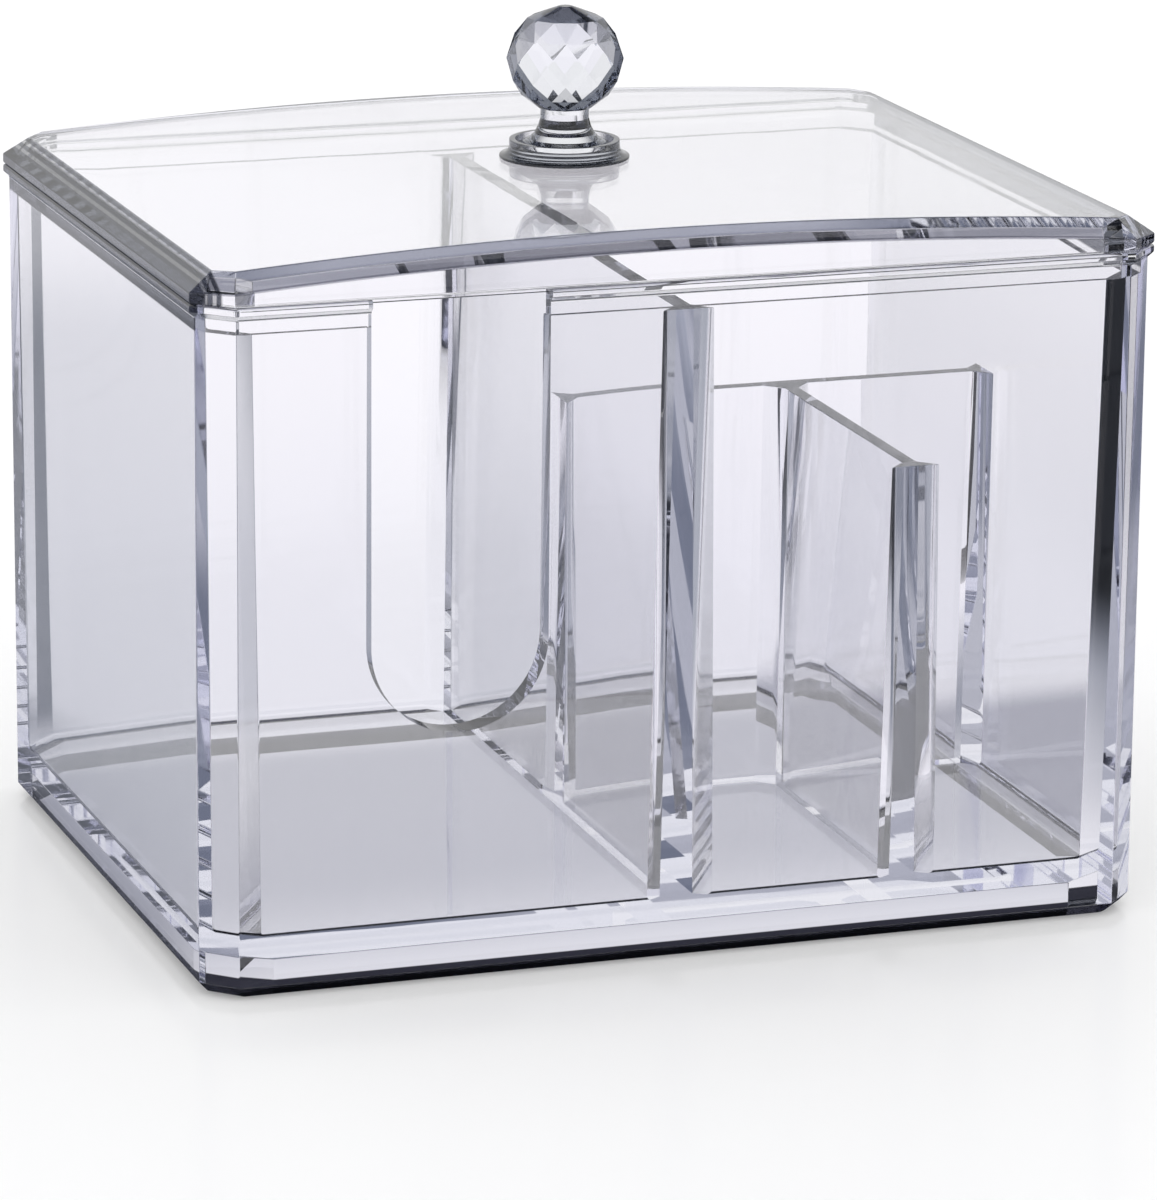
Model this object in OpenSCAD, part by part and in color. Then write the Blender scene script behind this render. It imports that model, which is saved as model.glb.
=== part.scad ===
// Clear storage box: a moulded tray with three dividers, and a lift-off lid
// with an arched, bevelled top and a cut-ball knob.
// X runs left to right, Y front to back, Z up; the origin is under the tray's centre.

/* [Tray] */
// Length of the tray over its walls
tray_l = 155; // [130:1:220]
// Depth of the tray over its walls
tray_w = 123.4; // [96:0.2:160]
// Height of the rim above the table
tray_h = 108.5; // [96:0.5:140]
// Leg of the 45 degree cut on each upright corner
corner_cut = 5; // [2:0.5:8]
// Wall thickness at the ledge, where it is thinnest
wall_t = 3.5; // [2.6:0.1:5]
// Leg of the 45 degree cut inside each upright corner
inner_cut = 4.7; // [2:0.1:8]
// Lean of every inside face, from upright, in degrees
draft = 0.8; // [0:0.1:1.2]

/* [Base] */
// Height of the open recess under the floor
recess_h = 5.4; // [3:0.2:8]
// Thickness of the floor
floor_t = 3.5; // [2:0.1:6]
// Thickness of the skirt that the tray stands on
foot_t = 4.4; // [4:0.1:9]
// Leg of the 45 degree cut at the corners of the recess
recess_cut = 7; // [2:0.5:12]
// Width of the bevel along the bottom edge
bevel_in = 1.9; // [0.5:0.1:2.5]
// Height of the bevel along the bottom edge
bevel_up = 2.1; // [0.5:0.1:3]

/* [Rim] */
// Reach of the rim's lip beyond the walls
lip_out = 0.9; // [0.3:0.1:2]
// Height of the rim's lip
lip_h = 2.1; // [1.4:0.1:4]
// Depth of the step inside the rim
ledge_drop = 4.6; // [3:0.1:8]
// Thickness of the rim above the ledge
rim_t = 2.4; // [1.2:0.1:2.5]

/* [Dividers] */
// Place of the long divider, from the middle of the tray
long_x = 0; // [-6:0.5:14]
// Thickness of the long divider at its top
long_t = 2.8; // [1.6:0.1:4]
// Place of the cross divider, from the middle of the tray
cross_y = 0.5; // [-12:0.5:12]
// Place of the short divider, from the middle of the tray
short_x = 38; // [32:0.5:46]
// Height of the cross and short dividers above the table
low_top = 76; // [50:1:90]
// Thickness of the cross and short dividers at their top
low_t = 2.4; // [1.6:0.1:4]
// Leg of the 45 degree flare where a divider meets a wall
flare = 2.7; // [0:0.1:4]

/* [Notch] */
// Place of the notch in the front wall, from the middle of the tray
notch_x = -37.2; // [-42:0.2:-30]
// Width of the notch
notch_w = 28.4; // [16:0.2:34]
// Height of the lowest point of the notch
notch_z = 40; // [24:1:70]

/* [Lid] */
// Width of the small bevels that meet in a groove where the lid sits on the rim
groove = 0.3; // [0.1:0.1:0.6]
// Play between the bead under the lid and the inside of the rim
lid_play = 0.3; // [0.2:0.1:1]
// Thickness of the bead that keeps the lid in place
bead_t = 1.3; // [0.8:0.1:3]
// Depth of the bead below the rim's top
bead_drop = 1.2; // [0.8:0.1:2.5]
// Thickness of the lid's top
lid_t = 3; // [2:0.1:5]
// Height of the lid's side in the middle of its front
side_h = 5; // [4.5:0.1:8]
// Radius of the arch along the lid's length
arch_r = 935; // [700:5:2000]
// Width of the bevel along the lid's front and back
edge_in = 4.4; // [2:0.1:8]
// Height of the bevel along the lid's front and back
edge_up = 2.5; // [1.5:0.1:4]
// Width of the bevel at the lid's two ends
end_in = 4; // [3:0.1:9]

/* [Knob] */
// Radius of the knob's foot where it meets the lid
foot_r = 10.5; // [8.5:0.1:16]
// Radius of the foot's raised rim
rim_r = 8.9; // [7:0.1:9.5]
// Height of the foot's raised rim
rim_h = 3; // [2.8:0.1:6]
// Radius of the knob's neck
neck_r = 3.9; // [2:0.1:5]
// Height of the middle of the ball above the lid
ball_up = 15.9; // [13:0.1:24]
// Radius of the ball, over the corners of its cuts
ball_r = 9.4; // [7:0.1:12]
// Number of cuts round the ball
ball_cuts = 10; // [6:1:12]
// Height of the ball as a share of its width
ball_flat = 0.93; // [0.85:0.01:1]

/* [Hidden] */

clear_tint = [0.86, 0.88, 0.93];
divider_tint = [0.74, 0.79, 0.88];
lid_tint = [0.9, 0.92, 0.97];
foot_tint = [0.7, 0.73, 0.78];
knob_tint = [0.8, 0.83, 0.9];

// Half the length of a prism that reaches past the whole box
reach = tray_l + tray_w;
// Overlap of a cut past the face that it opens
past = 1;
floor_z = recess_h + floor_t;
ledge_z = tray_h - ledge_drop;
slope = tan(draft);
in_l = tray_l / 2 - wall_t;
in_w = tray_w / 2 - wall_t;
rim_l = tray_l / 2 - rim_t;
rim_w = tray_w / 2 - rim_t;
// Cuts of outlines that lie one wall outside or inside another
lip_cut = corner_cut + lip_out * (2 - sqrt(2));
rim_cut = corner_cut - rim_t * (2 - sqrt(2));
crown_cut = lip_cut - edge_in * (2 - sqrt(2));

lid_l = tray_l / 2 + lip_out;
lid_w = tray_w / 2 + lip_out;
lid_top = tray_h + side_h + edge_up;
// Drop of the arch at a distance along the lid
function arch_drop(x) = arch_r - sqrt(arch_r * arch_r - x * x);
end_z = tray_h + side_h - arch_drop(lid_l);
end_up = lid_top - arch_drop(lid_l - end_in) - end_z;
corner_top = (lid_l - end_in + lid_w - edge_in - crown_cut) / sqrt(2);
corner_side = (lid_l + lid_w - lip_cut) / sqrt(2);
bead_l = rim_l - lid_play;
bead_w = rim_w - lid_play;

// Prism along the line square to its outline; the outline's first axis is turned from X
module across(turn, outline) {
    rotate([0, 0, turn]) rotate([90, 0, 0]) linear_extrude(2 * reach, center = true) polygon(outline);
}

// Outline with the same inset and height steps on both sides
function both_sides(half, steps, stretch = 1) = concat(
    [for (s = steps) [half - s[0] * stretch, s[1]]],
    [for (i = [len(steps) - 1 : -1 : 0]) [steps[i][0] * stretch - half, steps[i][1]]]
);

// Upright block with four cut corners; each step is an inset and its height.
// stretch is 1 where the corners keep pace with the sides, sqrt(2) where their cut stays as wide.
module cornered_block(half_l, half_w, cut, steps, stretch = 1) {
    half_d = (half_l + half_w - cut) / sqrt(2);
    intersection() {
        across(0, both_sides(half_l, steps));
        across(90, both_sides(half_w, steps));
        across(45, both_sides(half_d, steps, stretch));
        across(-45, both_sides(half_d, steps, stretch));
    }
}

// How much further in a leaning face stands at z than at the ledge
function lean(z) = (ledge_z - z) * slope;

// The space inside the walls, from the floor up to z
module inside(z) {
    cornered_block(in_l, in_w, inner_cut, [[lean(floor_z), floor_z], [lean(z), z]], sqrt(2));
}

// Wall that thickens towards the floor: t at its top z, its middle at the distance from the centre
module leaning_wall(turn, middle, t, z) {
    d = (z - floor_z) * slope;
    across(turn, [
        [middle - t / 2 - d, floor_z],
        [middle + t / 2 + d, floor_z],
        [middle + t / 2, z],
        [middle - t / 2, z],
    ]);
}

// All that lies before a face which leans like the walls and stands at the distance at height z
module before_face(turn, distance, z, stretch = 1) {
    d = (z - floor_z) * slope * stretch;
    across(turn, [[-reach, floor_z], [distance + d, floor_z], [distance, z], [-reach, z]]);
}

// Flared end of a divider of thickness t; the wall it meets is at Y = 0 and it runs along +Y
module flared_end(t, z) {
    half_d = (t / 2 + flare) / sqrt(2);
    intersection() {
        before_face(45, half_d, z, sqrt(2));
        before_face(135, half_d, z, sqrt(2));
    }
}

// Half thickness of the long divider at z
function long_half(z) = long_t / 2 + lean(z);

module tray() color(clear_tint) {
    difference() {
        union() {
            cornered_block(tray_l / 2, tray_w / 2, corner_cut, [[bevel_in, 0], [0, bevel_up], [0, tray_h]]);
            cornered_block(tray_l / 2, tray_w / 2, corner_cut, [
                [0, tray_h - lip_h],
                [-lip_out, tray_h - lip_h + lip_out],
                [-lip_out, tray_h - groove],
                [groove - lip_out, tray_h],
            ]);
        }
        inside(ledge_z + past);
        cornered_block(rim_l, rim_w, rim_cut, [[0, ledge_z], [0, tray_h + past]]);
        recess();
        notch();
    }
}

// Open recess under the floor
module recess() {
    cornered_block(tray_l / 2 - foot_t, tray_w / 2 - foot_t, recess_cut, [[0, -past], [0, recess_h]]);
}

// Round-bottomed notch through the front wall and the rim
module notch() {
    r = notch_w / 2;
    deep = wall_t + lean(floor_z) + lip_out + 2 * past;
    translate([notch_x, deep - lip_out - past - tray_w / 2, notch_z + r]) rotate([90, 0, 0]) {
        cylinder(h = deep, r = r, $fn = 96);
        translate([-r, 0, 0]) cube([notch_w, tray_h - notch_z, deep]);
    }
}

// Full-height divider from the front wall to the back wall
module long_divider() color(divider_tint) {
    intersection() {
        inside(ledge_z);
        union() {
            leaning_wall(0, long_x, long_t, ledge_z);
            translate([long_x, -in_w, 0]) flared_end(long_t, ledge_z);
            translate([long_x, in_w, 0]) rotate([0, 0, 180]) flared_end(long_t, ledge_z);
        }
    }
}

// Low divider from the long divider to the right wall
module cross_divider() color(divider_tint) {
    intersection() {
        inside(low_top);
        across(0, [
            [long_x + long_half(floor_z), floor_z],
            [reach, floor_z],
            [reach, low_top],
            [long_x + long_half(low_top), low_top],
        ]);
        union() {
            leaning_wall(90, cross_y, low_t, low_top);
            translate([long_x + long_half(low_top), cross_y, 0]) rotate([0, 0, -90]) flared_end(low_t, low_top);
            translate([in_l - lean(low_top), cross_y, 0]) rotate([0, 0, 90]) flared_end(low_t, low_top);
        }
    }
}

// Low divider from the front wall to the cross divider
module short_divider() color(divider_tint) {
    cross_face = cross_y - low_t / 2;
    intersection() {
        inside(low_top);
        across(90, [
            [-reach, floor_z],
            [cross_face - (low_top - floor_z) * slope, floor_z],
            [cross_face, low_top],
            [-reach, low_top],
        ]);
        union() {
            leaning_wall(0, short_x, low_t, low_top);
            translate([short_x, lean(low_top) - in_w, 0]) flared_end(low_t, low_top);
            translate([short_x, cross_face, 0]) rotate([0, 0, 180]) flared_end(low_t, low_top);
        }
    }
}

// Solid under an arch along X: steps are an inset from half_w and a depth below the crown
module arched(half_w, crown, steps) {
    turn = asin((lid_l + past) / arch_r) + 1;
    side = [for (s = steps) [arch_r - s[1], half_w - s[0]]];
    translate([0, 0, crown - arch_r]) rotate([90, 0, 0]) rotate([0, 0, 90 - turn])
        rotate_extrude(angle = 2 * turn, $fn = 1440)
            polygon(concat(side, [for (i = [len(side) - 1 : -1 : 0]) [side[i][0], -side[i][1]]]));
}

// Cap that sits on the tray's rim, with a bead under it that keeps it there
module lid() color(lid_tint) {
    deep = lid_top - tray_h + 2 * arch_drop(lid_l) + bead_drop;
    difference() {
        union() {
            intersection() {
                cornered_block(lid_l, lid_w, lip_cut, [[groove, tray_h], [0, tray_h + groove], [0, lid_top + past]]);
                arched(lid_w, lid_top, [[edge_in, 0], [0, edge_up], [0, deep]]);
                lid_bevel(0, lid_l, end_in);
                lid_bevel(45, corner_side, corner_side - corner_top);
                lid_bevel(-45, corner_side, corner_side - corner_top);
            }
            cornered_block(bead_l, bead_w, rim_cut, [[0, tray_h - bead_drop], [0, tray_h + past]]);
        }
        intersection() {
            cornered_block(bead_l - bead_t, bead_w - bead_t, inner_cut, [[0, tray_h - bead_drop - past], [0, lid_top]]);
            arched(lid_w, lid_top, [[0, lid_t], [0, deep + past]]);
        }
    }
}

// Bevels over two opposite ends or corners of the lid
module lid_bevel(turn, half, inset) {
    across(turn, both_sides(half, [[0, tray_h], [0, end_z], [2 * inset, end_z + 2 * end_up]]));
}

// Turned foot with a coved side and a dished top
module knob_foot() color(foot_tint) {
    dish = rim_h - 1.2;
    cove = foot_r - rim_r;
    translate([0, 0, lid_top]) difference() {
        union() {
            cylinder(h = rim_h - 0.4, r = rim_r, $fn = 64);
            translate([0, 0, rim_h - 0.4]) cylinder(h = 0.4, r1 = rim_r, r2 = rim_r - 0.3, $fn = 64);
            rotate_extrude($fn = 64) coved_edge(cove);
        }
        translate([0, 0, dish]) cylinder(h = rim_h, r = rim_r - 1, $fn = 64);
    }
}

// Section of the foot's side: a flat edge that sweeps up into the rim
module coved_edge(cove) {
    edge = 0.4;
    difference() {
        translate([rim_r - past, 0]) square([cove + past, edge + cove]);
        translate([foot_r, edge + cove]) circle(r = cove, $fn = 64);
    }
}

// Ball cut in rows of flats, on a turned neck that stands in the foot's dish
module knob() color(knob_tint) {
    dish = rim_h - 1.2;
    neck_top = ball_up - ball_flat * ball_r * cos(28);
    translate([0, 0, lid_top]) {
        cylinder_between(dish, dish + 0.9, rim_r - 1.9, rim_r - 2.3);
        cylinder_between(dish + 0.9, dish + 2.4, rim_r - 2.3, neck_r + 0.4);
        cylinder_between(dish + 2.4, neck_top, neck_r + 0.4, neck_r);
        translate([0, 0, ball_up]) cut_ball();
    }
}

module cylinder_between(z0, z1, r0, r1) {
    translate([0, 0, z0]) cylinder(h = z1 - z0, r1 = r0, r2 = r1, $fn = 64);
}

// Rows of corners at steps of latitude, each turned half a cut from the last
module cut_ball() {
    rows = [-63, -42, -21, 1, 25, 50];
    thin = 0.01;
    hull() {
        for (i = [0 : len(rows) - 1])
            translate([0, 0, ball_flat * ball_r * sin(rows[i])])
                rotate([0, 0, (i % 2) * 180 / ball_cuts])
                    cylinder(h = thin, r = ball_r * cos(rows[i]), $fn = ball_cuts);
        translate([0, 0, ball_flat * ball_r * 0.98]) cylinder(h = thin, r = ball_r * 0.12, $fn = ball_cuts);
    }
}

tray();
long_divider();
cross_divider();
short_divider();
lid();
knob_foot();
knob();
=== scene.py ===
"""Clear acrylic storage box with a lift-off lid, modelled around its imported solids.

The tray and its dividers are one clear moulding, the lid is a second one, and the knob is a cut ball on a
turned foot. Lengths are in metres; MM turns millimetres into them.
"""

import math

import bmesh
import bpy
from mathutils import Matrix, Vector


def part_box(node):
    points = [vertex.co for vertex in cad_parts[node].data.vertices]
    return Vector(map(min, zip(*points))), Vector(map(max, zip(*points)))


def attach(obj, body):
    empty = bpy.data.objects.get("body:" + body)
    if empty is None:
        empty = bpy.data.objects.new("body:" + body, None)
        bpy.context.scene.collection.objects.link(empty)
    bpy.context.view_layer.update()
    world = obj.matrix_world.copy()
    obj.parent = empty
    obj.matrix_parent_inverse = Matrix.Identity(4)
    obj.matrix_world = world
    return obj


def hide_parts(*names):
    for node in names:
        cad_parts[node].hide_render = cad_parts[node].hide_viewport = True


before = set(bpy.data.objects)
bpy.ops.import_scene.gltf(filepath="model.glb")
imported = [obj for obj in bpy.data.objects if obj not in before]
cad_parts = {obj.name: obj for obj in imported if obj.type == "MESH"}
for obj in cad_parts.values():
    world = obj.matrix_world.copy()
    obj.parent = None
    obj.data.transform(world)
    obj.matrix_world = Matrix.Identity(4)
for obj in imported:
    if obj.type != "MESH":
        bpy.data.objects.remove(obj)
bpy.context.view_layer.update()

MM = 0.001

# The photograph's frame and the camera that took it
PHOTO_W = 1157
PHOTO_H = 1200
CAMERA_AT = Vector((-330.9, -969.2, 314.2)) * MM
CAMERA_AZIMUTH = math.radians(-19.489)
CAMERA_ELEVATION = math.radians(14.926)
CAMERA_ROLL = math.radians(0.613)
FOCAL_PX = 6477.8
CENTRE_X_PX = 630.5
CENTRE_Y_PX = 607.1
SENSOR_MM = 36

# Studio, as the plastic shows it, with painted shade and painted reflections on the table: heights are sines of their
# angles, levels go from 0 to 1
BACKDROP_TOP = (0.45, 0.62)
BACKDROP_LEVEL = 0.95
ROOM_LEVEL = 0.06
SHADE_X = 20 * MM
SHADE_BESIDE = (102 * MM, 122 * MM)
SHADE_BEHIND = (50 * MM, 66 * MM)
SHADE_FRONT = (-70 * MM, -10 * MM)
TABLE_FAR = (20 * MM, 330 * MM)
UNDER_FADE = 8 * MM
SHADE_STRIP_SLANT = 0.27
SHADE_STRIP_AT = -54 * MM
SHADE_STRIP_HALF = (10 * MM, 28 * MM)
SHADE_STRIP_Y = (75 * MM, 105 * MM)
MIRROR_FAR = (390 * MM, 500 * MM)
PAINTED_CARD_X = 55 * MM
PAINTED_CARD_HALF = (40 * MM, 75 * MM)
MIRROR_Y = (-75 * MM, 30 * MM)
MIRROR_LEFT = (60 * MM, 110 * MM)
PAINTED_FLAG_REACH = (180 * MM, 260 * MM)
PAINTED_FLAG_SLANT = 0.8
PAINTED_FLAG_DEPTH = 100 * MM

# Clear acrylic, the facing range of its painted rim shade, and the half width of the painted dark lines along its
# edges
ACRYLIC_IOR = 1.49
RIM_TURN = (0.17, 0.5)
EDGE_LINE = 0.15 * MM

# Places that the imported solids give
LIP_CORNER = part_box("tray")[1]
RIM_Z = LIP_CORNER.z
FLOOR_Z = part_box("long_divider")[0].z
LEDGE_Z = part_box("long_divider")[1].z
LOW_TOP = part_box("cross_divider")[1].z
BEAD_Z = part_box("lid")[0].z
LID_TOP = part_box("knob_foot")[0].z
FOOT_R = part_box("knob_foot")[1].x
FOOT_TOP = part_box("knob_foot")[1].z
DISH_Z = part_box("knob")[0].z
BALL_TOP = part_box("knob")[1].z

# Tray
LIP_OUT = 0.9 * MM
LIP_H = 2.1 * MM
CORNER_CUT = 5 * MM
RIM_T = 2.4 * MM
WALL_T = 3.5 * MM
INNER_CUT = 4.7 * MM
DRAFT = math.radians(0.8)
RECESS_H = 5.4 * MM
SKIRT_T = 4.4 * MM
RECESS_CUT = 7 * MM
BEVEL_IN = 1.9 * MM
BEVEL_UP = 2.1 * MM

# Dividers and notch
LONG_X = 0.0
LONG_T = 2.8 * MM
CROSS_Y = 0.5 * MM
SHORT_X = 38 * MM
LOW_T = 2.4 * MM
FLARE = 2.7 * MM
NOTCH_X = -37.2 * MM
NOTCH_W = 28.4 * MM
NOTCH_Z = 40 * MM

# Lid
GROOVE = 0.3 * MM
LID_PLAY = 0.3 * MM
BEAD_T = 1.3 * MM
LID_T = 3 * MM
ARCH_R = 935 * MM
EDGE_IN = 4.4 * MM
EDGE_UP = 2.5 * MM
END_IN = 4 * MM
ARCH_SLICES = 90

# Knob, its heights measured from the lid's crown
RIM_R = 8.9 * MM
NECK_R = 3.9 * MM
BALL_UP = 15.9 * MM
BALL_R = 9.4 * MM
BALL_FLAT = 0.93
BALL_CUTS = 10
BALL_ROWS = (-63, -42, -21, 1, 25, 50)
TURNED_STEPS = 64

# Finish of the edges, and what keeps one clear piece off the next
EDGE_ROUND = 0.15 * MM
BASE_ROUND = 0.8 * MM
FLOOR_FILLET = 0.9 * MM
DIVIDER_DROP = 0.5 * MM
SINK = 1 * MM
AIR = 0.03 * MM
TINY = 0.001 * MM


class Sum:
    """A shader socket that adds its own nodes when it is used in an expression."""

    def __init__(self, tree, socket=None):
        self.tree = tree
        self.socket = socket

    def node(self, kind, settings=None, out=0, **inputs):
        """Adds a node: its settings first, then its sockets by name (spaces written _) or number (i0, i1)."""
        made = self.tree.nodes.new(kind)
        for name, value in (settings or {}).items():
            setattr(made, name, value)
        for name, value in inputs.items():
            numbered = name[0] == "i" and name[1:].isdigit()
            socket = made.inputs[int(name[1:]) if numbered else name.replace("_", " ")]
            if isinstance(value, Sum):
                self.tree.links.new(value.socket, socket)
            elif isinstance(value, tuple) and len(value) == 3 and socket.type == "RGBA":
                socket.default_value = (*value, 1)
            else:
                socket.default_value = value
        return Sum(self.tree, made.outputs[out])

    def math(self, operation, first, second=0.0):
        return self.node("ShaderNodeMath", {"operation": operation}, i0=first, i1=second)

    def __add__(self, other):
        return self.math("ADD", self, other)

    def __radd__(self, other):
        return self.math("ADD", other, self)

    def __sub__(self, other):
        return self.math("SUBTRACT", self, other)

    def __rsub__(self, other):
        return self.math("SUBTRACT", other, self)

    def __mul__(self, other):
        return self.math("MULTIPLY", self, other)

    def __rmul__(self, other):
        return self.math("MULTIPLY", other, self)

    def size(self):
        """The value without its sign."""
        return self.math("ABSOLUTE", self)

    def at_least(self, floor):
        return self.math("MAXIMUM", self, floor)

    def ramp(self, low, high):
        """0 at low, 1 at high, smooth between."""
        return self.node("ShaderNodeMapRange", {"interpolation_type": "SMOOTHSTEP"}, Value=self,
                         From_Min=low, From_Max=high, To_Min=0.0, To_Max=1.0)

    def mix(self, first, second):
        """Colour between two colours; this value is the share of the second."""
        return self.node("ShaderNodeMix", {"data_type": "RGBA"}, out="Result", Factor=self, A=first, B=second)


def new_tree(owner, output_kind):
    """Empties the node tree of a material or world; returns its helper and its output node."""
    owner.use_nodes = True
    tree = owner.node_tree
    tree.nodes.clear()
    return Sum(tree), tree.nodes.new(output_kind)


def light_paths(helper):
    """Shares of rays: seen by the camera through plastic, and seen by it with a mirror image on the way."""
    path = "ShaderNodeLightPath"
    by_camera = 1.0 - helper.node(path, out="Diffuse Depth").ramp(0.0, 1.0)
    through = helper.node(path, out="Is Transmission Ray") * by_camera
    mirrored = helper.node(path, out="Glossy Depth").ramp(0.0, 1.0) * by_camera
    return through, mirrored


def make_camera():
    a, e, r = CAMERA_AZIMUTH, CAMERA_ELEVATION, CAMERA_ROLL
    back = Vector((math.sin(a) * math.cos(e), -math.cos(a) * math.cos(e), math.sin(e)))
    right = Vector((math.cos(a), math.sin(a), 0))
    up = back.cross(right)
    turned_right = right * math.cos(r) + up * math.sin(r)
    turned_up = up * math.cos(r) - right * math.sin(r)
    lens = bpy.data.cameras.new("camera")
    long_side = max(PHOTO_W, PHOTO_H)
    lens.sensor_width = SENSOR_MM
    lens.lens = FOCAL_PX * SENSOR_MM / long_side
    lens.shift_x = (PHOTO_W / 2 - CENTRE_X_PX) / long_side
    lens.shift_y = (CENTRE_Y_PX - PHOTO_H / 2) / long_side
    camera = bpy.data.objects.new("camera", lens)
    bpy.context.scene.collection.objects.link(camera)
    place = Matrix((turned_right, turned_up, back)).transposed().to_4x4()
    place.translation = CAMERA_AT
    camera.matrix_world = place
    bpy.context.scene.camera = camera


def make_world():
    """Plain white light all round. The plastic shows a pale backdrop with a dark room above it instead."""
    world = bpy.data.worlds.new("studio")
    bpy.context.scene.world = world
    helper, output = new_tree(world, "ShaderNodeOutputWorld")
    way = helper.node("ShaderNodeTexCoord", out="Generated")
    height = helper.node("ShaderNodeSeparateXYZ", out="Z", Vector=way)
    through, mirrored = light_paths(helper)
    fall = (1.0 - BACKDROP_LEVEL) + (BACKDROP_LEVEL - ROOM_LEVEL) * height.ramp(*BACKDROP_TOP)
    strength = 1.0 - through.math("MAXIMUM", through, mirrored) * fall
    tone = strength.mix((0.78, 0.86, 1.0), (1.0, 1.0, 1.0))
    light = helper.node("ShaderNodeBackground", Color=tone, Strength=strength)
    helper.tree.links.new(light.socket, output.inputs[0])


def make_floor():
    """Large white table top with a faint sheen.

    Through plastic, the camera sees it glowing as a pale lilac backdrop, with painted shade under and behind the box
    and a dark painted strip behind its left end. Reflections in the plastic show a painted reflection of it: lit from
    the front, dark behind and beside the box, and near black under the box and off to the right.
    """
    deselect()
    bpy.ops.mesh.primitive_grid_add(x_subdivisions=4, y_subdivisions=4, size=12, location=(0, 0, -AIR))
    floor = new_piece("floor")
    material = bpy.data.materials.new("white_table")
    helper, output = new_tree(material, "ShaderNodeOutputMaterial")
    place = helper.node("ShaderNodeTexCoord", out="Object")
    x = helper.node("ShaderNodeSeparateXYZ", out="X", Vector=place)
    y = helper.node("ShaderNodeSeparateXYZ", out="Y", Vector=place)

    past_x = (x.size() - BASE[0]).at_least(0.0)
    past_y = (y.size() - BASE[1]).at_least(0.0)
    away = x.math("SQRT", past_x * past_x + past_y * past_y)
    # Painted shade on the table as the plastic shows it: dark under and just behind the box, a little darker near it
    # than far off, and a dark painted strip behind the left end
    shade = (1.0 - (x - SHADE_X).size().ramp(*SHADE_BESIDE)) * (1.0 - y.ramp(*SHADE_BEHIND)) * y.ramp(*SHADE_FRONT)
    sweep_and_painted_shade = shade.mix(away.ramp(*TABLE_FAR).mix((0.87, 0.87, 0.93), (1.0, 0.99, 1.03)), (0.43, 0.435, 0.51))
    shade_strip = 1.0 - (x + SHADE_STRIP_SLANT * y - SHADE_STRIP_AT).size().ramp(*SHADE_STRIP_HALF)
    sweep_and_painted_shade = (shade_strip * y.ramp(*SHADE_STRIP_Y)).mix(sweep_and_painted_shade, (0.07, 0.077, 0.1))
    # Painted reflection of the table: in front, dark in outer reflections and bright in reflections from inside the
    # plastic; a pale painted card behind the box; pale far behind; near black where the painted flag falls off to the
    # right and under the box
    painted_flag = (x + PAINTED_FLAG_SLANT * x.math("MINIMUM", y, PAINTED_FLAG_DEPTH)).ramp(*PAINTED_FLAG_REACH)
    behind = (x - PAINTED_CARD_X).size().ramp(*PAINTED_CARD_HALF).mix((0.52, 0.53, 0.58), (0.2, 0.22, 0.28))
    behind = (0.0 - x).ramp(*MIRROR_LEFT).mix(behind, (0.44, 0.46, 0.52))
    inside = helper.node("ShaderNodeLightPath", out="Transmission Depth").ramp(0.0, 1.0)
    image = y.ramp(*MIRROR_Y).mix(inside.mix((0.15, 0.16, 0.19), (0.95, 0.94, 1.0)), behind)
    image = y.ramp(*MIRROR_FAR).mix(image, (0.9, 0.9, 0.95))
    image = painted_flag.mix(image, (0.005, 0.006, 0.008))
    image = away.ramp(0.0, UNDER_FADE).mix((0.02, 0.022, 0.03), image)
    through, mirrored = light_paths(helper)
    grain = helper.node("ShaderNodeTexNoise", Vector=place, Scale=9.0, Detail=3.0)
    skin = helper.node("ShaderNodeBsdfPrincipled", Base_Color=(0.8, 0.8, 0.805), Roughness=0.16 + 0.04 * grain,
                       IOR=1.25, Emission_Color=(1.0, 1.0, 1.0),
                       Emission_Strength=0.22 * helper.node("ShaderNodeLightPath", out="Is Camera Ray"))
    # Rays that met the plastic see the table glowing in these painted colours instead of lit
    shown = helper.node("ShaderNodeEmission", Color=mirrored.mix(sweep_and_painted_shade, image), Strength=1.0)
    top = helper.node("ShaderNodeMixShader", i0=x.math("MAXIMUM", through, mirrored), i1=skin, i2=shown)
    helper.tree.links.new(top.socket, output.inputs["Surface"])
    floor.data.materials.append(material)


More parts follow.
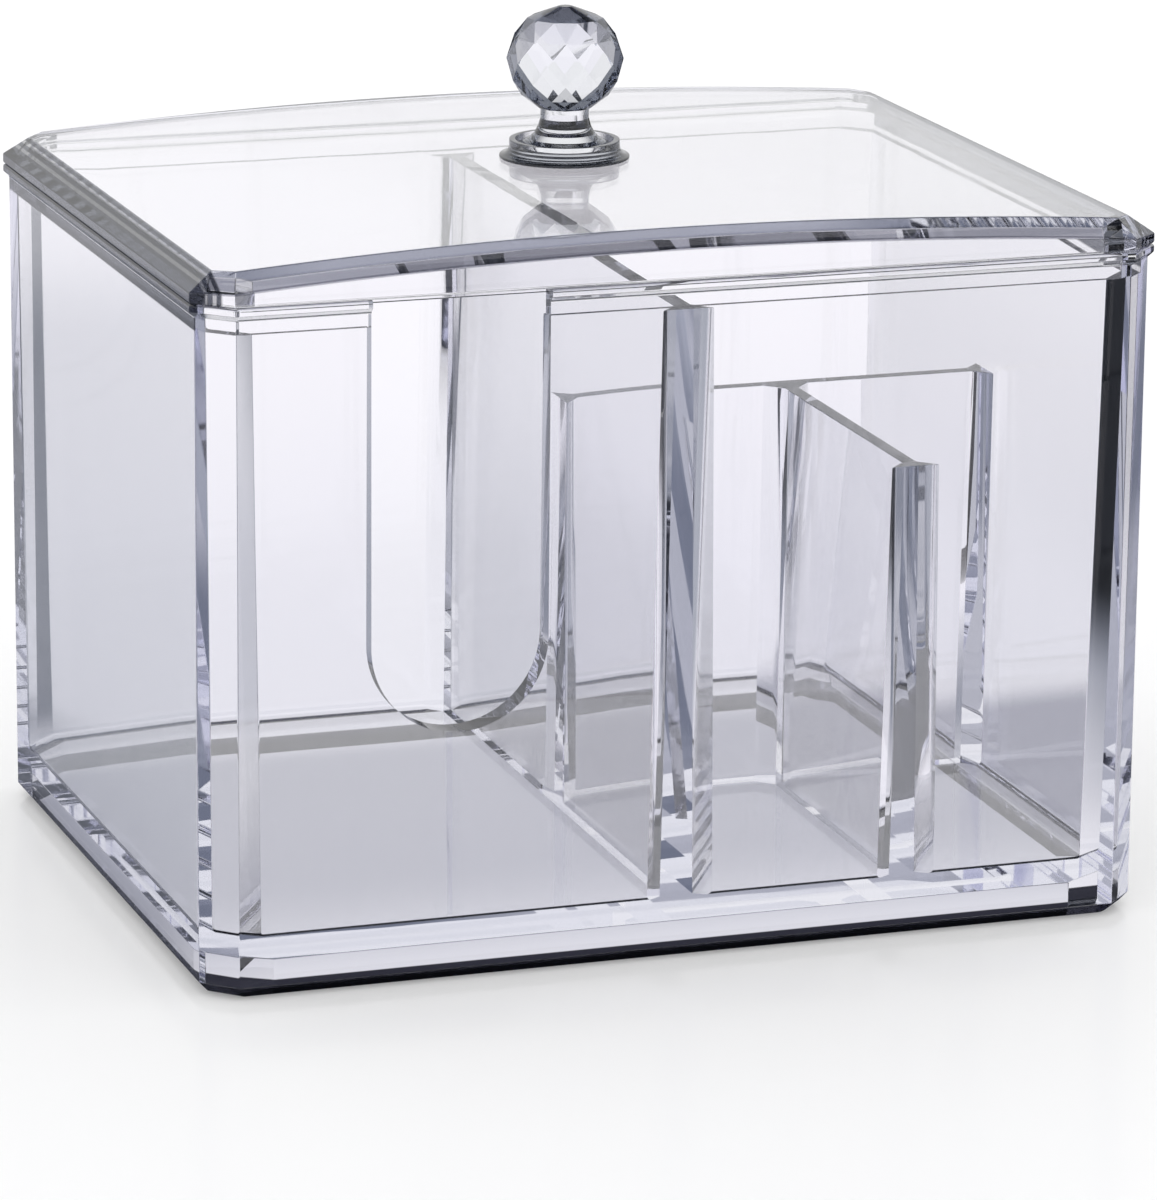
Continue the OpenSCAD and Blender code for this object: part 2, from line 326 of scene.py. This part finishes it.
def clear_acrylic(name, haze, depth_tint, depth, painted_shade):
    """Polished clear acrylic with a little handling haze, a faint moulding ripple and a colour that grows with depth.

    The painted shade is a list of shares and colours of painted shade and shadow, for the places where thick edges
    show the dark room.
    """
    material = bpy.data.materials.new(name)
    helper, output = new_tree(material, "ShaderNodeOutputMaterial")
    place = helper.node("ShaderNodeTexCoord", out="Object")
    cloud = helper.node("ShaderNodeTexNoise", Vector=place, Scale=38.0, Detail=3.0)
    rub = helper.node("ShaderNodeTexNoise", Vector=place, Scale=420.0, Detail=2.0)
    ripple = helper.node("ShaderNodeTexNoise", Vector=place, Scale=55.0, Detail=1.0)
    colour_and_painted_shade = cloud.mix((0.99, 0.987, 1.0), (1.0, 0.997, 1.0))
    bump = helper.node("ShaderNodeBump", Height=ripple, Strength=0.02, Distance=0.0004)
    axes = [helper.node("ShaderNodeSeparateXYZ", out=axis, Vector=place) for axis in "XYZ"]
    # Painted shade and painted shadow lines are mixed into the plastic's colour here
    for share, colour in painted_shade(*axes):
        colour_and_painted_shade = share.mix(colour_and_painted_shade, colour)
    skin = helper.node("ShaderNodeBsdfPrincipled", Base_Color=colour_and_painted_shade, Roughness=haze * (cloud.ramp(0.45, 0.7) * rub),
                       Normal=bump, IOR=ACRYLIC_IOR, Transmission_Weight=1.0)
    body = helper.node("ShaderNodeVolumeAbsorption", Color=depth_tint, Density=depth)
    helper.tree.links.new(skin.socket, output.inputs["Surface"])
    helper.tree.links.new(body.socket, output.inputs["Volume"])
    return material


def near(value, middle, half):
    """1 within half the width of a middle value, falling to 0 at the full width."""
    return 1.0 - (value - middle).size().ramp(half, 2 * half)


def tray_painted_shade(x, y, z):
    """Painted shade: a darker floor plate, near-black ends of the lip and wall top with a paler line at the lip's
    lower edge, and a black painted contact shadow on the bevel at the foot.
    """
    side = x.size().ramp(WALLS[0] - 0.2 * MM, WALLS[0] - 0.1 * MM)
    lip_line = near(z, RIM_Z - LIP_H, 0.1 * MM)
    return [(near(z, FLOOR_Z, 0.3 * MM), (0.86, 0.865, 0.885)),
            (side * z.ramp(LEDGE_Z + 0.2 * MM, LEDGE_Z + 0.6 * MM) * (1.0 - 0.8 * lip_line), (0.012, 0.013, 0.018)),
            (1.0 - z.ramp(BEVEL_UP - 0.1 * MM, BEVEL_UP + 0.1 * MM), (0.001, 0.001, 0.002))]


def lid_painted_shade(x, y, z):
    """Painted shade: dark ends with two paler painted lines, and dark and grey painted lines along the long bevels.
    """
    across = x.size()
    side = y.size()
    arched = z + x * x * (0.5 / ARCH_R)
    top = arched.ramp(LID_TOP - 0.6 * MM, LID_TOP - 0.4 * MM)
    bevel = side.ramp(CROWN[1], CROWN[1] + 0.5 * MM)
    pale = 0.3 * near(across, CROWN[0] + 0.9 * MM, EDGE_LINE) + 0.12 * near(across, CROWN[0] + 2 * MM, EDGE_LINE)
    return [(near(side, CROWN[1], EDGE_LINE) * top, (0.2, 0.21, 0.25)),
            (near(arched, LID_TOP - 0.45 * EDGE_UP, 0.5 * EDGE_LINE) * bevel, (0.6, 0.6, 0.65)),
            (near(arched, LID_TOP - EDGE_UP, EDGE_LINE) * bevel, (0.3, 0.3, 0.34)),
            (across.ramp(CROWN[0] - 0.2 * MM, CROWN[0] + 0.2 * MM) * (1.0 - pale), (0.018, 0.02, 0.027))]


def foot_painted_shade(x, y, z):
    """Painted shade where it turns away from the view, and a near-black painted shadow at its lower edge."""
    return [(turned_away(x), (0.06, 0.065, 0.08)),
            (1.0 - z.ramp(LID_TOP + 0.4 * MM, LID_TOP + 0.8 * MM), (0.02, 0.022, 0.03))]


def ball_painted_shade(x, y, z):
    """A ring of painted shade on the flats that turn away."""
    return [(turned_away(x), (0.05, 0.057, 0.075))]


# Facing share of the painted shade on faces that turn away from the view
def turned_away(helper):
    return helper.node("ShaderNodeLayerWeight", out="Facing", Blend=0.5).ramp(*RIM_TURN)


def deselect():
    if bpy.context.object and bpy.context.object.mode != "OBJECT":
        bpy.ops.object.mode_set(mode="OBJECT")
    bpy.ops.object.select_all(action="DESELECT")


def take(piece):
    """Makes the piece the only selected and the active one."""
    deselect()
    piece.select_set(True)
    bpy.context.view_layer.objects.active = piece


def new_piece(name):
    """Names the primitive that was just added and writes its place into its mesh."""
    bpy.ops.object.transform_apply(location=True, rotation=True, scale=True)
    piece = bpy.context.active_object
    piece.name = name
    piece.data.name = name
    return piece


def add_block(name, low, high):
    """Block between two corners."""
    deselect()
    low, high = Vector(low), Vector(high)
    bpy.ops.mesh.primitive_cube_add(size=1, location=(low + high) / 2, scale=high - low)
    return new_piece(name)


def choose(piece, kind, test):
    """Edit mode, with the vertices, edges or faces selected that pass the test."""
    take(piece)
    bpy.ops.object.mode_set(mode="EDIT")
    bpy.ops.mesh.select_mode(type=kind)
    bpy.ops.mesh.select_all(action="DESELECT")
    mesh = bmesh.from_edit_mesh(piece.data)
    parts = {"VERT": mesh.verts, "EDGE": mesh.edges, "FACE": mesh.faces}[kind]
    for part in parts:
        part.select_set(test(part))
    mesh.select_flush_mode()
    bmesh.update_edit_mesh(piece.data)


def pick(piece, corners):
    """Edit mode, with only these vertices selected."""
    bpy.ops.mesh.select_mode(type="VERT")
    bpy.ops.mesh.select_all(action="DESELECT")
    for corner in corners:
        corner.select_set(True)
    bmesh.update_edit_mesh(piece.data)


def chosen_face(mesh):
    return next(face for face in mesh.faces if face.select)


def faces_up(face):
    return face.normal.z > 0.99


def faces_down(face):
    return face.normal.z < -0.99


def is_upright(edge):
    first, second = edge.verts
    return abs(first.co.x - second.co.x) + abs(first.co.y - second.co.y) < TINY


def lies_at(part, height):
    """True for an edge or face that lies flat at this height."""
    return all(abs(corner.co.z - height) < TINY for corner in part.verts)


def extrude(move):
    bpy.ops.mesh.extrude_region_move(TRANSFORM_OT_translate={"value": move})


def resize(x, y, about):
    bpy.ops.transform.resize(value=(x, y, 1), center_override=about)


def bevel(width, steps):
    bpy.ops.mesh.bevel(offset=width, segments=steps, affect="EDGES", clamp_overlap=False)


def within(outline, by, cut=None):
    """Outline a distance inside another. Its corner cut keeps pace with the sides unless a new one is given."""
    half_l, half_w, old_cut = outline
    if cut is None:
        cut = old_cut - by * (2 - math.sqrt(2))
    return half_l - by, half_w - by, cut


def lean(height):
    """How much further in a leaning face stands at this height than at the ledge."""
    return (LEDGE_Z - height) * math.tan(DRAFT)


def cut_corner_block(name, outline, low, high):
    """Block whose four upright corners are cut at 45 degrees."""
    half_l, half_w, cut = outline
    piece = add_block(name, (-half_l, -half_w, low), (half_l, half_w, high))
    choose(piece, "EDGE", is_upright)
    bevel(cut, 1)
    return piece


def extrude_to(piece, outline, height):
    """Extrudes the chosen flat face to a height, and gives its edge a new cut-cornered outline."""
    half_l, half_w, cut = outline
    mesh = bmesh.from_edit_mesh(piece.data)
    extrude((0, 0, height - chosen_face(mesh).calc_center_median().z))
    cap = chosen_face(mesh)
    widest = max(abs(corner.co.y) for corner in cap.verts)
    sides = [corner for corner in cap.verts if abs(corner.co.y) > widest - TINY]
    ends = [corner for corner in cap.verts if corner not in sides]
    for corners, goal in ((sides, (half_l - cut, half_w)), (ends, (half_l, half_w - cut))):
        now = corners[0].co
        pick(piece, corners)
        resize(goal[0] / abs(now.x), goal[1] / abs(now.y), (0, 0, height))
    pick(piece, [])
    bpy.ops.mesh.select_mode(type="FACE")
    cap.select_set(True)
    bmesh.update_edit_mesh(piece.data)


def change(piece, kind, **settings):
    """Adds a modifier with these settings and applies it."""
    made = piece.modifiers.new(kind.lower(), kind)
    for name, value in settings.items():
        setattr(made, name, value)
    take(piece)
    bpy.ops.object.modifier_apply(modifier=made.name)


def join_on(piece, other):
    """Fuses another closed piece to this one, so that no seam is left inside."""
    change(piece, "BOOLEAN", operation="UNION", solver="EXACT", object=other)
    bpy.data.objects.remove(other)


def cut_out(piece, other):
    change(piece, "BOOLEAN", operation="DIFFERENCE", solver="EXACT", object=other)
    bpy.data.objects.remove(other)


def round_edges(piece, width, least_angle):
    """Rounds every edge that is sharper than the least angle."""
    change(piece, "BEVEL", width=width, segments=2, limit_method="ANGLE", angle_limit=math.radians(least_angle))


def finish_piece(piece, material, body, nodes, smooth_angle=30):
    """Shading, material and body of a finished piece."""
    take(piece)
    bpy.ops.object.mode_set(mode="EDIT")
    bpy.ops.mesh.select_all(action="SELECT")
    bpy.ops.mesh.normals_make_consistent(inside=False)
    bpy.ops.object.mode_set(mode="OBJECT")
    bpy.ops.object.shade_smooth_by_angle(angle=math.radians(smooth_angle))
    change(piece, "WEIGHTED_NORMAL", mode="FACE_AREA", weight=100, keep_sharp=True)
    piece.data.materials.append(material)
    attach(piece, body)
    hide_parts(*nodes)


# Outlines of the two mouldings: half the length, half the depth and the leg of the corner cut
HALF_L = LIP_CORNER.x - LIP_OUT
HALF_W = LIP_CORNER.y - LIP_OUT
WALLS = (HALF_L, HALF_W, CORNER_CUT)
LIP = within(WALLS, -LIP_OUT)
RIM = within(WALLS, RIM_T)
LEDGE = within(WALLS, WALL_T, INNER_CUT)
FLOOR = within(LEDGE, lean(FLOOR_Z), INNER_CUT)
BASE = within(WALLS, BEVEL_IN)
RECESS = within(WALLS, SKIRT_T, RECESS_CUT)
LID_REST = within(LIP, GROOVE)
BEAD = (RIM[0] - LID_PLAY, RIM[1] - LID_PLAY, RIM[2])
HOLLOW = within(BEAD, BEAD_T, INNER_CUT)
CROWN = (LIP[0] - END_IN, LIP[1] - EDGE_IN, within(LIP, EDGE_IN)[2])


def make_shell():
    """The open box: lip and walls outside, step, leaning walls and floor inside, recess underneath."""
    shell = cut_corner_block("tray_shell", LIP, RIM_Z - LIP_H + LIP_OUT, RIM_Z - GROOVE)
    choose(shell, "FACE", faces_down)
    extrude_to(shell, WALLS, RIM_Z - LIP_H)
    extrude_to(shell, WALLS, BEVEL_UP)
    extrude_to(shell, BASE, 0)
    extrude_to(shell, RECESS, 0)
    extrude_to(shell, RECESS, RECESS_H)
    choose(shell, "FACE", lambda face: faces_up(face) and face.calc_center_median().z > LEDGE_Z)
    extrude_to(shell, LID_REST, RIM_Z)
    extrude_to(shell, RIM, RIM_Z)
    extrude_to(shell, RIM, LEDGE_Z)
    extrude_to(shell, LEDGE, LEDGE_Z)
    extrude_to(shell, FLOOR, FLOOR_Z)
    choose(shell, "EDGE", lambda edge: lies_at(edge, FLOOR_Z))
    bevel(FLOOR_FILLET, 4)
    choose(shell, "EDGE", lambda edge: lies_at(edge, 0) and max(abs(edge.verts[0].co.x) - RECESS[0],
                                                                abs(edge.verts[0].co.y) - RECESS[1]) > TINY)
    bevel(BASE_ROUND, 3)
    round_edges(shell, EDGE_ROUND, 35)
    return shell


def make_divider(name, axis, middle, thick, start, end, top):
    """Leaning wall along an axis (0 is X, 1 is Y) between two faces that lean too, with 45 degree flares.

    The faces that it meets are given at its top, and it reaches a little into them and into the floor.
    """
    across = 1 - axis
    spread = (top - FLOOR_Z + SINK) * math.tan(DRAFT)
    low = Vector((0, 0, FLOOR_Z - SINK))
    high = Vector((0, 0, top))
    low[axis], high[axis] = start + FLARE, end - FLARE
    low[across], high[across] = middle - thick / 2, middle + thick / 2
    slab = add_block(name, low, high)
    choose(slab, "FACE", faces_down)
    grow = [0, 0]
    grow[axis] = 1 - 2 * spread / (high - low)[axis]
    grow[across] = 1 + 2 * spread / thick
    resize(*grow, (low + high) / 2)
    for way in (-1, 1):
        choose(slab, "FACE", lambda face: face.normal[axis] * way > 0.99)
        move = Vector((0, 0, 0))
        move[axis] = way * (FLARE + SINK)
        extrude(move)
        mesh = bmesh.from_edit_mesh(slab.data)
        corners = list(chosen_face(mesh).verts)
        for side in (-1, 1):
            pick(slab, [corner for corner in corners if (corner.co[across] - middle) * side > 0])
            move = Vector((0, 0, 0))
            move[across] = side * (FLARE + SINK)
            bpy.ops.transform.translate(value=move)
    choose(slab, "EDGE", lambda edge: lies_at(edge, top))
    bevel(EDGE_ROUND, 2)
    return slab


def make_notch():
    """Round-bottomed block that cuts the notch out of the front wall and its rim."""
    notch = add_block("notch", (NOTCH_X - NOTCH_W / 2, -LIP[1] - SINK, NOTCH_Z),
                      (NOTCH_X + NOTCH_W / 2, -FLOOR[1] + SINK, RIM_Z + SINK))
    choose(notch, "EDGE", lambda edge: lies_at(edge, NOTCH_Z) and abs(edge.verts[0].co.x - edge.verts[1].co.x) < TINY)
    bevel(NOTCH_W / 2 - AIR, 32)
    return notch


def make_tray(material):
    shell = make_shell()
    long_top = LEDGE_Z - DIVIDER_DROP
    join_on(shell, make_divider("long_wall", 1, LONG_X, LONG_T, lean(long_top) - LEDGE[1],
                                LEDGE[1] - lean(long_top), long_top))
    join_on(shell, make_divider("cross_wall", 0, CROSS_Y, LOW_T, LONG_X + LONG_T / 2 + lean(LOW_TOP),
                                LEDGE[0] - lean(LOW_TOP), LOW_TOP))
    join_on(shell, make_divider("short_wall", 1, SHORT_X, LOW_T, lean(LOW_TOP) - LEDGE[1],
                                CROSS_Y - LOW_T / 2, LOW_TOP))
    cut_out(shell, make_notch())
    finish_piece(shell, material, "tray",
                 ("tray", "long_divider", "cross_divider", "short_divider"))


def arch_drop(x):
    """Drop of the lid's arch at a distance along it."""
    return ARCH_R - math.sqrt(ARCH_R * ARCH_R - x * x)


def arch(piece, above):
    """Slices the piece across its length, and bends all that is above a height down along the arch."""
    take(piece)
    bpy.ops.object.mode_set(mode="EDIT")
    reach = CROWN[0] - CROWN[2]
    for slice_number in range(1, ARCH_SLICES):
        x = reach * (2 * slice_number / ARCH_SLICES - 1)
        bpy.ops.mesh.select_all(action="SELECT")
        bpy.ops.mesh.bisect(plane_co=(x, 0, 0), plane_no=(1, 0, 0))
    mesh = bmesh.from_edit_mesh(piece.data)
    stations = {}
    for corner in mesh.verts:
        if corner.co.z > above:
            stations.setdefault(round(abs(corner.co.x) / TINY), []).append(corner)
    for corners in stations.values():
        pick(piece, corners)
        bpy.ops.transform.translate(value=(0, 0, -arch_drop(corners[0].co.x)))


def make_lid(material):
    """Arched cap with bevelled edges, hollow underneath, and a bead that keeps it in place."""
    rest = RIM_Z + AIR
    ceiling = LID_TOP - LID_T
    cap = cut_corner_block("lid_cap", LIP, rest + GROOVE, LID_TOP - EDGE_UP)
    choose(cap, "FACE", faces_up)
    extrude_to(cap, CROWN, LID_TOP)
    choose(cap, "FACE", faces_down)
    extrude_to(cap, LID_REST, rest)
    extrude_to(cap, BEAD, rest)
    extrude_to(cap, BEAD, BEAD_Z)
    extrude_to(cap, HOLLOW, BEAD_Z)
    extrude_to(cap, HOLLOW, ceiling)
    arch(cap, ceiling - TINY)
    round_edges(cap, EDGE_ROUND, 20)
    finish_piece(cap, material, "lid", ("lid",))


def turn_piece(name, steps, sides=TURNED_STEPS, turn=0.0):
    """Disc that is extruded and resized from step to step; a step is a radius and a height.

    Each step is turned by the angle from the last one, to and fro.
    """
    radius, height = steps[0]
    deselect()
    bpy.ops.mesh.primitive_circle_add(vertices=sides, radius=radius, fill_type="NGON", location=(0, 0, height),
                                      rotation=(0, 0, turn))
    piece = new_piece(name)
    choose(piece, "FACE", lambda face: True)
    for number, (next_radius, next_height) in enumerate(steps[1:]):
        extrude((0, 0, next_height - height))
        resize(next_radius / radius, next_radius / radius, (0, 0, next_height))
        if turn:
            bpy.ops.transform.rotate(value=turn if number % 2 else -turn, orient_axis="Z",
                                     center_override=(0, 0, next_height))
        radius, height = next_radius, next_height
    bpy.ops.mesh.select_all(action="SELECT")
    bpy.ops.mesh.normals_make_consistent(inside=False)
    return piece


def make_foot(material):
    """Flange with a coved side, a raised rim and a dished top."""
    cove = FOOT_R - RIM_R
    low = LID_TOP + AIR
    edge = 0.4 * MM
    steps = [(FOOT_R, low)]
    for angle in range(0, 91, 15):
        turn = math.radians(angle)
        steps.append((FOOT_R - cove * math.sin(turn), low + edge + cove * (1 - math.cos(turn))))
    steps += [(RIM_R, FOOT_TOP), (RIM_R - 1 * MM, FOOT_TOP), (RIM_R - 1 * MM, DISH_Z)]
    foot = turn_piece("turned_foot", steps)
    round_edges(foot, EDGE_ROUND, 35)
    finish_piece(foot, material, "lid", ("knob_foot",))


def make_knob(material):
    """Ball cut in rows of flats, on a turned neck that stands in the foot's dish."""
    low = DISH_Z + AIR
    middle = LID_TOP + BALL_UP
    neck = turn_piece("cut_ball", [(7.0 * MM, low), (6.7 * MM, low + 0.8 * MM), (5.7 * MM, low + 1.3 * MM),
                                   (4.9 * MM, low + 2.1 * MM), (4.3 * MM, low + 3.2 * MM),
                                   (NECK_R, low + 4.6 * MM), (NECK_R, middle - 0.8 * BALL_FLAT * BALL_R)])
    rows = [(BALL_R * math.cos(math.radians(row)), middle + BALL_FLAT * BALL_R * math.sin(math.radians(row)))
            for row in BALL_ROWS]
    ball = turn_piece("ball", [*rows, (0.12 * BALL_R, BALL_TOP)], BALL_CUTS, math.pi / BALL_CUTS)
    choose(ball, "FACE", lambda face: len(face.verts) == 4)
    bpy.ops.mesh.quads_convert_to_tris(quad_method="SHORTEST_DIAGONAL")
    join_on(neck, ball)
    finish_piece(neck, material, "lid", ("knob",), smooth_angle=12)


def set_light_paths():
    """Enough bounces for light to pass all the clear walls."""
    cycles = bpy.context.scene.cycles
    cycles.max_bounces = 96
    cycles.transmission_bounces = 64
    cycles.glossy_bounces = 64
    cycles.diffuse_bounces = 4


make_camera()
make_world()
make_floor()
set_light_paths()
make_tray(clear_acrylic("tray_acrylic", 0.05, (0.6, 0.61, 0.78), 4.0, tray_painted_shade))
make_lid(clear_acrylic("lid_acrylic", 0.05, (0.6, 0.62, 0.78), 4.0, lid_painted_shade))
make_foot(clear_acrylic("foot_acrylic", 0.06, (0.6, 0.62, 0.66), 80.0, foot_painted_shade))
make_knob(clear_acrylic("ball_acrylic", 0.03, (0.6, 0.64, 0.74), 15.0, ball_painted_shade))

bpy.context.scene.view_settings.view_transform = "Standard"
